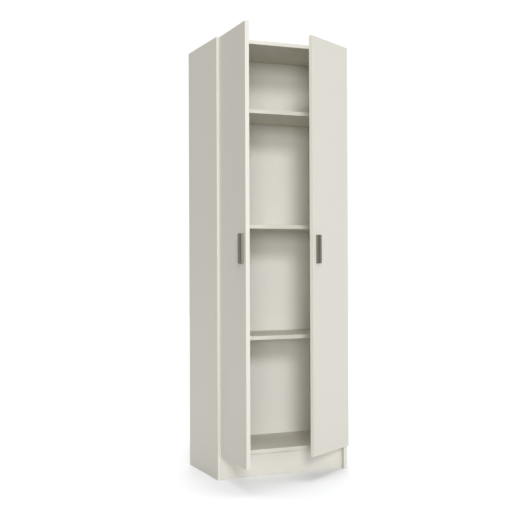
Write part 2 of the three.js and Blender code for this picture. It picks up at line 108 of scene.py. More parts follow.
def door_opening(hand):
    """The move that carries a point of a closed door to its place at rest. Its inverse, the closing, is
    the turn of the door about its cup pin to the joint's lower limit, then that of the outer link."""
    door, link = joint(f"{hand}_door_swing"), joint(f"{hand}_outer_link_swing")
    ratio = next(c["ratio"] for c in frame["record"]["behaviour"]["couplings"] if c["joint"] == link["name"])
    shut = door["range_deg"][0]
    door_turn = turn_about(door["pos_m"], shut * door["axis"][2])
    link_turn = turn_about(link["pos_m"], shut * ratio * link["axis"][2])
    return (link_turn @ door_turn).inverted()


def points_of(node):
    """All points of a node's mesh, one to a row."""
    mesh = frame["nodes"][node].data
    flat = np.empty(len(mesh.vertices) * 3)
    mesh.vertices.foreach_get("co", flat)
    return flat.reshape(-1, 3)


def moved(points, matrix):
    """Points turned and shifted by a matrix: each is turned first, then shifted."""
    turn = np.array(matrix.to_3x3())
    return points @ turn.T + np.array(matrix.to_translation())


def shut_box(node, opening):
    """Lowest and highest corner of a door's node with the door shut."""
    points = moved(points_of(node), opening.inverted())
    return points.min(0), points.max(0)


# ---- Meshes


def grid_faces(rows, columns):
    """Quads of a grid of rows by columns whose columns run round and join up."""
    i, j = np.meshgrid(np.arange(rows - 1), np.arange(columns), indexing="ij")
    a, b = i * columns + j, i * columns + (j + 1) % columns
    below, beside = (i + 1) * columns + j, (i + 1) * columns + (j + 1) % columns
    return np.stack([a, b, beside, below], -1).reshape(-1, 4)


def new_piece(name, points, faces, body, finish, sharp=35.0):
    """An object of its own at the origin, with its faces turned outwards, that rides on a body."""
    mesh = bpy.data.meshes.new(name)
    mesh.from_pydata(np.asarray(points).tolist(), [], [list(map(int, f)) for f in faces])
    piece = bpy.data.objects.new(name, mesh)
    bpy.context.scene.collection.objects.link(piece)
    tidy = bmesh.new()
    tidy.from_mesh(mesh)
    bmesh.ops.remove_doubles(tidy, verts=tidy.verts, dist=1e-7)
    bmesh.ops.recalc_face_normals(tidy, faces=tidy.faces)
    tidy.to_mesh(mesh)
    tidy.free()
    shade(mesh, sharp)
    mesh.materials.append(finish)
    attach(piece, body)
    return piece


def shade(mesh, sharp):
    """Smooth shading, with edges over an angle in degrees left sharp."""
    mesh.polygons.foreach_set("use_smooth", np.ones(len(mesh.polygons), bool))
    mesh.set_sharp_from_angle(angle=math.radians(sharp))


def dressed_copy(name, node, finishes, sharp=35.0):
    """A copy of a node with its doubles merged and its flat faces whole, which stands for the node."""
    source = frame["nodes"][node]
    mesh = source.data.copy()
    mesh.name = name
    whole = bmesh.new()
    whole.from_mesh(mesh)
    bmesh.ops.remove_doubles(whole, verts=whole.verts, dist=SAME_PLACE)
    flat = math.radians(SAME_PLANE)
    bmesh.ops.dissolve_limit(whole, angle_limit=flat, verts=whole.verts, edges=whole.edges)
    whole.to_mesh(mesh)
    whole.free()
    shade(mesh, sharp)
    mesh.materials.clear()
    for finish in finishes:
        mesh.materials.append(finish)
    piece = bpy.data.objects.new(name, mesh)
    bpy.context.scene.collection.objects.link(piece)
    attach(piece, source["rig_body"])
    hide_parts(node)
    return piece


def ease_edges(piece, radius, shortest, material=-1):
    """Rounds the long square edges of a board, and leaves those round its holes."""
    mesh = piece.data
    work = bmesh.new()
    work.from_mesh(mesh)
    weights = [
        float(e.calc_length() > shortest and e.is_manifold and e.calc_face_angle() > 1.0)
        for e in work.edges
    ]
    work.free()
    mesh.attributes.new("bevel_weight_edge", "FLOAT", "EDGE").data.foreach_set("value", weights)
    ease = piece.modifiers.new("eased_edges", "BEVEL")
    ease.limit_method = "WEIGHT"
    ease.width = radius
    ease.segments = EASE_STEPS
    ease.material = material


# ---- Materials


class Term:
    """A socket of a material's nodes, used in sums as if it were a number."""

    def __init__(self, tree, socket):
        self.tree = tree
        self.socket = socket

    def _math(self, operation, *terms):
        """A Math node with the terms on its sockets in order."""
        node = self.tree.nodes.new("ShaderNodeMath")
        node.operation = operation
        for slot, term in zip(node.inputs, terms):
            feed(self.tree, slot, term)
        return Term(self.tree, node.outputs[0])

    def __add__(self, other):
        return self._math("ADD", self, other)

    def __sub__(self, other):
        return self._math("SUBTRACT", self, other)

    def __rsub__(self, other):
        return self._math("SUBTRACT", other, self)

    def __mul__(self, other):
        return self._math("MULTIPLY", self, other)

    __radd__ = __add__
    __rmul__ = __mul__


def feed(tree, slot, value):
    """Links a term to a socket, or sets the socket to a plain value."""
    if isinstance(value, Term):
        tree.links.new(value.socket, slot)
    elif hasattr(slot.default_value, "__len__") and len(slot.default_value) == 4 and len(value) == 3:
        slot.default_value = (*value, 1.0)
    else:
        slot.default_value = value


class Finish:
    """A material, its shader and the nodes that feed it."""

    def __init__(self, name, **uniform):
        self.material = bpy.data.materials.new(name)
        self.material.use_nodes = True
        self.tree = self.material.node_tree
        self.shader = self.tree.nodes["Principled BSDF"]
        for key, value in uniform.items():
            feed(self.tree, self.shader.inputs[key.replace("_", " ").title().replace("Ior", "IOR")], value)
        self.place = self.node("ShaderNodeTexCoord", output="Object")

    def node(self, kind, settings=None, inputs=None, output=""):
        """Any node: its settings first, then its sockets by name or identifier. Gives the named output, or
        the first."""
        made = self.tree.nodes.new(kind)
        for key, value in (settings or {}).items():
            if key == "stops":
                self._set_stops(made.color_ramp, value)
            else:
                setattr(made, key, value)
        for key, value in (inputs or {}).items():
            slot = next(s for s in made.inputs if key in (s.identifier, s.name))
            feed(self.tree, slot, value)
        found = [s for s in made.outputs if output in (s.identifier, s.name)] or [made.outputs[0]]
        return Term(self.tree, found[0])

    @staticmethod
    def _set_stops(ramp, stops):
        """Gives a colour ramp its stops, each a position and a colour."""
        while len(ramp.elements) < len(stops):
            ramp.elements.new(0.5)
        for element, (position, colour) in zip(ramp.elements, stops):
            element.position = position
            element.color = (*colour, 1.0)

    def stretched(self, scale, turn=(0, 0, 0)):
        """Places scaled on each axis and turned, for a pattern with a grain."""
        inputs = {"Vector": self.place, "Scale": scale, "Rotation": turn}
        return self.node("ShaderNodeMapping", inputs=inputs)

    def noise(self, scale, detail=2.0, where=None):
        """Soft random clouds from 0 to 1."""
        inputs = {"Vector": where or self.place, "Scale": scale, "Detail": detail}
        return self.node("ShaderNodeTexNoise", inputs=inputs, output="Fac")

    def cells(self, scale, where=None, feature="F1", output="Distance"):
        """Random cells, each with a colour, and the distance from its middle."""
        inputs = {"Vector": where or self.place, "Scale": scale}
        return self.node("ShaderNodeTexVoronoi", {"feature": feature}, inputs, output)

    def step(self, value, low, high):
        """0 below low and 1 above high, smooth between."""
        inputs = {"Value": value, "From Min": low, "From Max": high}
        return self.node("ShaderNodeMapRange", {"interpolation_type": "SMOOTHSTEP"}, inputs)

    def mix(self, share, first, second):
        """The first colour where the share is 0 and the second where it is 1."""
        inputs = {"Factor_Float": share, "A_Color": first, "B_Color": second}
        return self.node("ShaderNodeMix", {"data_type": "RGBA"}, inputs, output="Result_Color")

    def height(self):
        """Height over the floor, in metres."""
        return self.node("ShaderNodeSeparateXYZ", inputs={"Vector": self.place}, output="Z")

    def colour(self, value):
        """Sets what colours the surface."""
        feed(self.tree, self.shader.inputs["Base Color"], value)

    def roughness(self, value):
        """Sets how dull the surface is."""
        feed(self.tree, self.shader.inputs["Roughness"], value)

    def bump(self, relief, depth, strength=1.0):
        """Sets the surface's relief, and how deep it is in metres."""
        inputs = {"Height": relief, "Distance": depth, "Strength": strength}
        bumped = self.node("ShaderNodeBump", inputs=inputs)
        feed(self.tree, self.shader.inputs["Normal"], bumped)


def shaded(colour, share):
    """A colour made darker, or lighter where the share is over 1."""
    return tuple(min(1.0, c * share) for c in colour)


def melamine(settings):
    """Foil pressed on the board: a fine pearl relief, faint clouds of tone and faint darker blotches low
    down, fading out by 5 cm above the floor.
    """
    tone = tuple(settings.foil_colour)
    foil = Finish("white_melamine_foil", specular_ior_level=0.4)
    clouds = foil.noise(3.5, 3.0)
    pearl = foil.noise(1500.0, 1.0)
    # blotches up to 5 % darker, full at the floor and gone 5 cm above it
    near_floor_darkening = (1 - foil.step(foil.height(), 0.0, 0.05)) * foil.noise(40.0, 4.0)
    toned = foil.mix(clouds * 0.5, tone, shaded(tone, 0.965))
    foil.colour(foil.mix(near_floor_darkening * 0.25, toned, shaded(tone, 0.8)))
    foil.roughness(0.4 + clouds * 0.12 + pearl * 0.05)
    foil.bump(pearl, 0.03 * MM, 0.35)
    return foil.material


def edge_band(settings):
    """Thin plastic band on the front edges: smoother than the foil, with long faint rub marks."""
    tone = tuple(settings.foil_colour)
    band = Finish("white_edge_band", specular_ior_level=0.45)
    rub = band.noise(90.0, 3.0, band.stretched((1.0, 1.0, 0.08)))
    band.colour(band.mix(rub * 0.4, shaded(tone, 0.97), shaded(tone, 0.92)))
    band.roughness(0.34 + rub * 0.14)
    band.bump(band.noise(700.0, 2.0), 0.02 * MM, 0.3)
    return band.material


def worn_arris(settings):
    """The rounded corner between foil and band, where handling shows first."""
    tone = tuple(settings.foil_colour)
    arris = Finish("worn_arris")
    wear = arris.step(arris.noise(60.0, 5.0), 0.5, 0.72)
    arris.colour(arris.mix(wear * 0.5, shaded(tone, 0.98), shaded(tone, 0.84)))
    arris.roughness(0.36 + wear * 0.2)
    arris.bump(arris.noise(900.0, 2.0), 0.03 * MM, 0.3)
    return arris.material


CHIP_TONES = [
    (0.0, (0.30, 0.18, 0.09)),
    (0.35, (0.52, 0.36, 0.20)),
    (0.7, (0.68, 0.51, 0.31)),
    (1.0, (0.80, 0.66, 0.46)),
]
FIBRE_TONES = [(0.25, (0.13, 0.068, 0.033)), (0.5, (0.25, 0.145, 0.078)), (0.75, (0.38, 0.245, 0.145))]
SCREEN_SCALE = 165.0  # wires of the screen printed on the back's rear face
FLOOR_BOUNCE = 0.45  # share of its light that the floor gives back to the object


def chipboard():
    """Cut particle board: pale and brown chips a few millimetres long, with pits between them."""
    core = Finish("cut_chipboard")
    chips = core.node("ShaderNodeSeparateColor", inputs={"Color": core.cells(420.0, output="Color")})
    big = core.node("ShaderNodeSeparateColor", inputs={"Color": core.cells(150.0, output="Color")})
    share = chips * 0.65 + big * 0.35
    core.colour(core.node("ShaderNodeValToRGB", {"stops": CHIP_TONES}, {"Fac": share}))
    core.roughness(0.85 - chips * 0.1)
    core.bump(share + core.noise(1200.0, 3.0) * 0.5, 0.25 * MM, 0.7)
    return core.material


def lacquered_hardboard(settings):
    """The back's white face: thin lacquer through which the pressed fibres just show."""
    tone = tuple(settings.back_colour)
    face = Finish("lacquered_hardboard", specular_ior_level=0.35)
    fibres = face.noise(260.0, 5.0)
    clouds = face.noise(2.5, 2.0)
    face.colour(face.mix(clouds * 0.4 + fibres * 0.15, tone, shaded(tone, 0.95)))
    face.roughness(0.5 + fibres * 0.16)
    face.bump(fibres, 0.05 * MM, 0.4)
    return face.material


def pressed_fibre():
    """The back's rear face: brown fibre with the print of the wire screen it was pressed on."""
    rear = Finish("pressed_fibre")
    screen = 0
    for axis in ("X", "Z"):
        bands = {"wave_type": "BANDS", "bands_direction": axis}
        inputs = {"Vector": rear.place, "Scale": SCREEN_SCALE}
        screen = rear.node("ShaderNodeTexWave", bands, inputs, "Fac") * 0.5 + screen
    fibres = rear.noise(480.0, 6.0)
    blotches = rear.noise(14.0, 4.0)
    share = fibres * 0.55 + blotches * 0.45
    rear.colour(rear.node("ShaderNodeValToRGB", {"stops": FIBRE_TONES}, {"Fac": share}))
    rear.roughness(0.75 + fibres * 0.15)
    rear.bump(screen + fibres * 0.6, 0.18 * MM, 0.6)
    return rear.material


def satin_bronze(settings):
    """Plated handle metal, brushed along its length, a little brighter where fingers rub it."""
    tone = tuple(settings.handle_colour)
    metal = Finish("satin_bronze", metallic=0.45)
    brushed = metal.noise(1.0, 4.0, metal.stretched((2600.0, 2600.0, 90.0)))
    patina = metal.noise(45.0, 3.0)
    metal.colour(metal.mix(brushed * 0.55 + patina * 0.35, shaded(tone, 1.12), shaded(tone, 0.78)))
    metal.roughness(0.36 + brushed * 0.12 + patina * 0.06)
    metal.bump(brushed, 0.012 * MM, 0.5)
    return metal.material


def nickel(settings):
    """Pressed steel, tumbled and plated: soft scratches and slightly warm blotches."""
    tone = tuple(settings.nickel_colour)
    metal = Finish("tumbled_nickel", metallic=1.0)
    scratches = metal.noise(1.0, 5.0, metal.stretched((900.0, 2300.0, 900.0), (0.4, 0.9, 0.2)))
    blotches = metal.noise(130.0, 3.0)
    metal.colour(metal.mix(blotches * 0.7, tone, shaded(tone, 0.82)))
    metal.roughness(0.22 + scratches * 0.16 + blotches * 0.08)
    metal.bump(scratches, 0.02 * MM, 0.4)
    return metal.material


def soft_pad():
    """Clear soft plastic of the door pads, with trapped haze."""
    pad = Finish("clear_soft_pad", transmission_weight=0.75, ior=1.45)
    haze = pad.noise(600.0, 3.0)
    pad.colour(pad.mix(haze * 0.5, (0.93, 0.93, 0.90), (0.80, 0.80, 0.76)))
    pad.roughness(0.2 + haze * 0.2)
    pad.bump(haze, 0.03 * MM, 0.3)
    return pad.material


def cover_plastic(settings):
    """Moulded white caps over the joining cams, with a fine spark texture."""
    tone = tuple(settings.foil_colour)
    cap = Finish("cap_plastic")
    spark = cap.noise(2200.0, 2.0)
    cap.colour(cap.mix(cap.noise(70.0) * 0.5, shaded(tone, 0.99), shaded(tone, 0.93)))
    cap.roughness(0.42 + spark * 0.14)
    cap.bump(spark, 0.03 * MM, 0.5)
    return cap.material


def studio_floor(settings):
    """Matt pale floor paper with a barely visible tooth. It gives the object less light than it shows."""
    tone = tuple(settings.floor_colour)
    paper = Finish("floor_paper", specular_ior_level=0.0)
    tooth = paper.noise(500.0, 3.0)
    bounced = paper.node("ShaderNodeLightPath", output="Is Diffuse Ray")
    shown = paper.mix(paper.noise(1.5) * 0.3, tone, shaded(tone, 0.985))
    paper.colour(paper.mix(bounced, shown, shaded(tone, FLOOR_BOUNCE)))
    paper.roughness(0.85 + tooth * 0.1)
    paper.bump(tooth, 0.05 * MM, 0.2)
    return paper.material


# ---- Settings that a user would change


class BoardSettings(PropertyGroup):
    """Sizes and colours of the boards."""

    edge_radius: FloatProperty(
        name="Edge radius", description="Rounding of the boards' long edges",
        default=0.7 * MM, min=0.1 * MM, max=3 * MM, precision=5, subtype="DISTANCE", unit="LENGTH",
    )
    foil_colour: FloatVectorProperty(
        name="Foil colour", description="Colour of the melamine foil and its edge bands",
        default=(0.66, 0.636, 0.552), subtype="COLOR", min=0, max=1,
    )
    back_colour: FloatVectorProperty(
        name="Back colour", description="Colour of the back's lacquered face",
        default=(0.73, 0.708, 0.632), subtype="COLOR", min=0, max=1,
    )


class MetalSettings(PropertyGroup):
    """Sizes and colours of the handles and hinges."""

    handle_colour: FloatVectorProperty(
        name="Handle colour", description="Colour of the handles' plating",
        default=(0.14, 0.13, 0.105), subtype="COLOR", min=0, max=1,
    )
    nickel_colour: FloatVectorProperty(
        name="Nickel colour", description="Colour of the hinges, pins and screws",
        default=(0.66, 0.65, 0.61), subtype="COLOR", min=0, max=1,
    )
    handle_edge_radius: FloatProperty(
        name="Handle edge radius", description="Rounding of the edges at the handle's two ends",
        default=0.8 * MM, min=0.2 * MM, max=2 * MM, precision=5, subtype="DISTANCE", unit="LENGTH",
    )
    handle_corner: FloatProperty(
        name="Handle corner", description="Rounding of the long edges away from the door",
        default=2 * MM, min=0.5 * MM, max=4 * MM, precision=4, subtype="DISTANCE", unit="LENGTH",
    )
    handle_end_corner: FloatProperty(
        name="Handle end corner", description="Rounding of the outer corners, seen from the side",
        default=3.5 * MM, min=1 * MM, max=8 * MM, precision=4, subtype="DISTANCE", unit="LENGTH",
    )
    handle_groove_start: FloatProperty(
        name="Groove start", description="Distance from the door where the finger grooves start",
        default=3 * MM, min=1 * MM, max=8 * MM, precision=4, subtype="DISTANCE", unit="LENGTH",
    )
    handle_groove_stop: FloatProperty(
        name="Groove stop", description="Distance from the door where the finger grooves stop",
        default=15 * MM, min=9 * MM, max=18 * MM, precision=4, subtype="DISTANCE", unit="LENGTH",
    )
    handle_groove_depth: FloatProperty(
        name="Groove depth", description="Depth of the finger groove along each flank",
        default=1.6 * MM, min=0, max=3 * MM, precision=4, subtype="DISTANCE", unit="LENGTH",
    )


class FastenerSettings(PropertyGroup):
    """Sizes of the screw heads and caps."""

    head_segments: IntProperty(
        name="Head segments", description="Points round each screw head, a multiple of eight",
        default=32, min=16, max=64, step=8,
    )
    plate_head_radius: FloatProperty(
        name="Plate screw head", description="Radius of the screw heads on plates and cups",
        default=3.8 * MM, min=2 * MM, max=5 * MM, precision=4, subtype="DISTANCE", unit="LENGTH",
    )
    arm_head_radius: FloatProperty(
        name="Arm screw head", description="Radius of the adjusting screws' heads on the hinge arms",
        default=3.1 * MM, min=2 * MM, max=4 * MM, precision=4, subtype="DISTANCE", unit="LENGTH",
    )
    cap_radius: FloatProperty(
        name="Cam cap radius", description="Radius of the caps over the joining cams",
        default=8.5 * MM, min=5 * MM, max=12 * MM, precision=4, subtype="DISTANCE", unit="LENGTH",
    )


class StageSettings(PropertyGroup):
    """The floor, the light and the camera."""

    floor_colour: FloatVectorProperty(
        name="Floor colour", description="Colour of the floor paper",
        default=(0.93, 0.93, 0.93), subtype="COLOR", min=0, max=1,
    )
    world_strength: FloatProperty(
        name="Surrounding light", description="Strength of the white light from all round",
        default=0.4, min=0, max=5,
    )
    camera_place: FloatVectorProperty(
        name="Camera place", description="Where the camera stands",
        default=(-1.6795, -3.739, 0.877), subtype="TRANSLATION", unit="LENGTH",
    )
    camera_aim: FloatProperty(
        name="Camera aim", description="How far the camera looks to the right of the cupboard's axis",
        default=math.radians(22.814), subtype="ANGLE", unit="ROTATION",
    )
    camera_tilt: FloatProperty(
        name="Camera tilt", description="How far the camera looks up",
        default=math.radians(0.376), subtype="ANGLE", unit="ROTATION",
    )
    camera_roll: FloatProperty(
        name="Camera roll", description="How far the camera leans to its left",
        default=math.radians(-0.232), subtype="ANGLE", unit="ROTATION",
    )
    camera_lens: FloatProperty(
        name="Lens", description="Focal length on a 36 mm sensor",
        default=68.29, min=10, max=300, unit="CAMERA",
    )


# ---- Boards


def board_finishes(context):
    """The four finishes of every board, made once: foil, band, worn corner and cut chipboard."""
    settings = context.scene.cupboard_boards
    names = ("white_melamine_foil", "white_edge_band", "worn_arris", "cut_chipboard")
    makers = (melamine, edge_band, worn_arris, lambda _: chipboard())
    return [bpy.data.materials.get(name) or make(settings) for name, make in zip(names, makers)]


FOIL, BAND, ARRIS, CHIPS = range(4)


def face_boards(piece, thin_axis, banded):
    """Gives each face its finish: foil across the board's thickness, a band on the edges named by their
    outward direction, and cut chipboard on other edges and inside holes and grooves. Only the last, where
    the hole walls are round, is shaded smooth."""
    mesh = piece.data
    count = len(mesh.polygons)
    normals, centres = np.empty(count * 3), np.empty(count * 3)
    mesh.polygons.foreach_get("normal", normals)
    mesh.polygons.foreach_get("center", centres)
    normals, centres = normals.reshape(-1, 3), centres.reshape(-1, 3)
    corners = np.array([v.co[:] for v in mesh.vertices])
    along = centres @ thin_axis
    span = corners @ thin_axis
    on_face = (np.abs(normals @ thin_axis) > FACING) & (
        (along < span.min() + SKIN) | (along > span.max() - SKIN)
    )
    finish = np.full(count, CHIPS, np.int32)
    for way in banded:
        outermost = centres @ way > (corners @ way).max() - SKIN
        finish[outermost & (normals @ way > FACING)] = BAND
    finish[on_face] = FOIL
    mesh.polygons.foreach_set("material_index", finish)
    mesh.polygons.foreach_set("use_smooth", finish == CHIPS)


def make_board(context, node, thin_axis, banded):
    """A board with its finishes and eased edges, thin along one axis and banded on the edges named."""
    settings = context.scene.cupboard_boards
    piece = dressed_copy(f"{node}_faced", node, board_finishes(context))
    face_boards(piece, np.array(thin_axis, float), [np.array(d, float) for d in banded])
    ease_edges(piece, settings.edge_radius, SHORTEST_EASED, ARRIS)
    return piece


class CUPBOARD_OT_boards(Operator):
    """Makes the sides, the top and bottom, the plinth and the three shelves"""

    bl_idname = "cupboard.boards"
    bl_label = "Carcass boards"

    def execute(self, context):
        across, deep, high = (1, 0, 0), (0, 1, 0), (0, 0, 1)
        front = (0, -1, 0)
        for hand in HANDS:
            make_board(context, f"side_panel_{hand}", across, [front, high])
        for node in ("top_panel", "bottom_panel", *SHELVES):
            make_board(context, node, high, [front])
        make_board(context, "plinth_board", deep, [])
        return {"FINISHED"}


class CUPBOARD_OT_back(Operator):
    """Makes the hardboard back, white inside and brown behind"""

    bl_idname = "cupboard.back"
    bl_label = "Back"

    def execute(self, context):
        finishes = [lacquered_hardboard(context.scene.cupboard_boards), pressed_fibre()]
        piece = dressed_copy("back_panel_faced", "back_panel", finishes)
        normals = np.empty(len(piece.data.polygons) * 3)
        piece.data.polygons.foreach_get("normal", normals)
        lacquered = normals.reshape(-1, 3)[:, 1] < -0.5
        piece.data.polygons.foreach_set("material_index", np.where(lacquered, 0, 1).astype(np.int32))
        return {"FINISHED"}


class CUPBOARD_OT_doors(Operator):
    """Makes the two door boards, banded all round"""

    bl_idname = "cupboard.doors"
    bl_label = "Doors"

    def execute(self, context):
        for hand in HANDS:
            turn = np.array(door_opening(hand).to_3x3())
            across, deep, high = turn.T
            make_board(context, f"door_{hand}", deep, [across, -across, high, -high])
        return {"FINISHED"}


# ---- Handles


def inset(distance, radius):
    """How far a rounded corner of a radius draws in at a distance from its end."""
    left = radius - np.minimum(distance, radius)
    return radius - np.sqrt(radius**2 - left**2)


def bar_surface(width, reach, length, settings):
    """The handle's section carried along its length. Across, each flank is half the width, less a groove
    whose depth follows 4 s (1 - s) from start to stop, and the outer corners are quarter turns. Along, the
    reach draws in by the end corner's rounding and the width by the small edge's at both ends."""
    half, corner = width / 2, settings.handle_corner
    start, stop = settings.handle_groove_start, settings.handle_groove_stop
    s = np.linspace(0, 1, 13)
    turn = np.linspace(0, np.pi / 2, 7)
    groove = half - 4 * settings.handle_groove_depth * s * (1 - s)
    across = np.concatenate([[half], groove, half - corner + corner * np.cos(turn)])
    out = np.concatenate([[0], start + (stop - start) * s, reach - corner + corner * np.sin(turn)])
    across, out = np.concatenate([across, -across[::-1]]), np.concatenate([out, out[::-1]])
    end, edge = settings.handle_end_corner, settings.handle_edge_radius
    near = np.unique(np.concatenate([end * (1 - np.cos(turn)), edge * (1 - np.cos(turn))]))
    up = np.concatenate([near, [length / 4, length / 2, 3 * length / 4], length - near[::-1]])
    away = np.minimum(up, length - up)
    shares = (1 - inset(away, edge) / half)[:, None], (1 - inset(away, end) / reach)[:, None]
    level = np.broadcast_to((up - length / 2)[:, None], (len(up), len(out)))
    return np.stack([across * shares[0], -out * shares[1], level], -1)


class CUPBOARD_OT_handles(Operator):
    """Makes the two bar handles"""

    bl_idname = "cupboard.handles"
    bl_label = "Handles"

    def execute(self, context):
        settings = context.scene.cupboard_metal
        finish = satin_bronze(settings)
        for hand in HANDS:
            opening = door_opening(hand)
            low, high = shut_box(f"handle_{hand}", opening)
            size = high - low
            rings = bar_surface(*size, settings)
            rows, columns = rings.shape[:2]
            foot = np.array([(low[0] + high[0]) / 2, high[1], (low[2] + high[2]) / 2])
            faces = [tuple(f) for f in grid_faces(rows, columns)]
            faces += [tuple(range(columns)), tuple(range((rows - 1) * columns, rows * columns))]
            points = moved(rings.reshape(-1, 3) + foot, opening)
            piece = new_piece(f"bar_handle_{hand}", points, faces, f"{hand}_door", finish, 40)
            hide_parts(f"handle_{hand}")
        return {"FINISHED"}


# ---- Hinges


def metal_finish(context):
    """The plating of hinges, pins and screws, made once."""
    return bpy.data.materials.get("tumbled_nickel") or nickel(context.scene.cupboard_metal)


class CUPBOARD_OT_hinges(Operator):
    """Dresses the plates, arms, links and cups of the six hinges"""

    bl_idname = "cupboard.hinges"
    bl_label = "Hinges"

    def execute(self, context):
        finish = metal_finish(context)
        for hand in HANDS:
            for level in LEVELS:
                for part in ("plate", "arm", "outer_link", "inner_link", "cup"):
                    node = f"hinge_{part}_{hand}_{level}"
                    dressed_copy(f"{node}_plated", node, [finish], 50.0)
        return {"FINISHED"}


class CUPBOARD_OT_shelf_pins(Operator):
    """Dresses the eight pins that carry the loose shelves"""

    bl_idname = "cupboard.shelf_pins"
    bl_label = "Shelf pins"

    def execute(self, context):
        finish = metal_finish(context)
        for node in frame["nodes"]:
            if node.startswith("shelf_pin_"):
                dressed_copy(f"{node}_plated", node, [finish], 50.0)
        return {"FINISHED"}


# ---- Screws, caps and pads


def cross_head(radius, height, segments):
    """A screw head with a cross recess, axis up. Rings run from the middle of the recess's floor, along
    the edge of its floor and its rim, then over the dome, whose height falls with the fourth power of the
    distance, and down and in under the head. The rim's distance at each angle is the outline of a cross:
    the arm's length over the cosine near an arm's middle, its half width over the sine beside it."""
    angle = np.arange(segments) * (2 * np.pi / segments)
    beside = np.abs((angle + np.pi / 4) % (np.pi / 2) - np.pi / 4)
    half_width, arm = 0.16 * radius, 0.58 * radius
    cross = np.minimum(arm / np.cos(beside), half_width / np.maximum(np.sin(beside), 0.2))
    depth = 0.55 * height
    flat = np.full(segments, radius)
    dome = [(s, height * (1 - 0.75 * s**4)) for s in (0.75, 0.9, 1.0)]
    rings = [(cross * 0.02, height - depth), (cross * 0.72, height - depth), (cross, height)]
    rings += [(flat * s, h) for s, h in dome]
    rings += [(flat, 0.0), (flat * 0.02, 0.0)]
    points = [np.stack([r * np.cos(angle), r * np.sin(angle), np.full(segments, h)], 1) for r, h in rings]
    return np.array(points)


def flat_cap(radius, height, segments=40):
    """A disc with a rounded rim, axis up: a ring near the middle, rings out along a quarter turn at the
    rim, and back under."""
    angle = np.arange(segments) * (2 * np.pi / segments)
    turn = np.linspace(0, np.pi / 2, 5)
    outline = [(0.02, 1.0), *zip(1 - 0.12 * (1 - np.sin(turn)), np.cos(turn)), (0.02, 0.0)]
    return np.array([
        np.stack([s * radius * np.cos(angle), s * radius * np.sin(angle), np.full(segments, h * height)], 1)
        for s, h in outline
    ])


def placed(rings, sites):
    """Copies of a ring surface, one for each (place, direction): the rings' axis is laid along the
    direction and their origin on the place. Gives all points and faces together."""
    rows, columns = rings.shape[:2]
    faces = grid_faces(rows, columns)
    ends = [list(range(columns)), list(range((rows - 1) * columns, rows * columns))]
    points, every = [], []
    for number, (place, direction) in enumerate(sites):
        turn = Vector(direction).to_track_quat("Z", "Y").to_matrix().to_4x4()
        points.append(moved(rings.reshape(-1, 3), Matrix.Translation(place) @ turn))
        first = number * rows * columns
        every += [[v + first for v in face] for face in [*faces.tolist(), *ends]]
    return np.concatenate(points), every


PLATE_SCREW_SPREAD = 16 * MM
CUP_SCREW_SPREAD = 24 * MM
SCREW_HEAD_HEIGHT = 1.6 * MM
ARM_SCREWS = ((8 * MM, 11.9 * MM), (18 * MM, 12.6 * MM))  # from the arm's rear end, and above the panel
ARM_HEAD_SUNK = 0.6 * MM
PLATE_SHEET = 2 * MM  # the plate's thickness under its screws
PLATE_SCREW_BEHIND = 11 * MM  # from the plate's front edge
HANDLE_HEAD_HEIGHT = 2.4 * MM
SHANK_RADIUS = 2 * MM
SHANK_TIP = (1.2 * MM, 1 * MM)  # radius at its end, and length of its taper


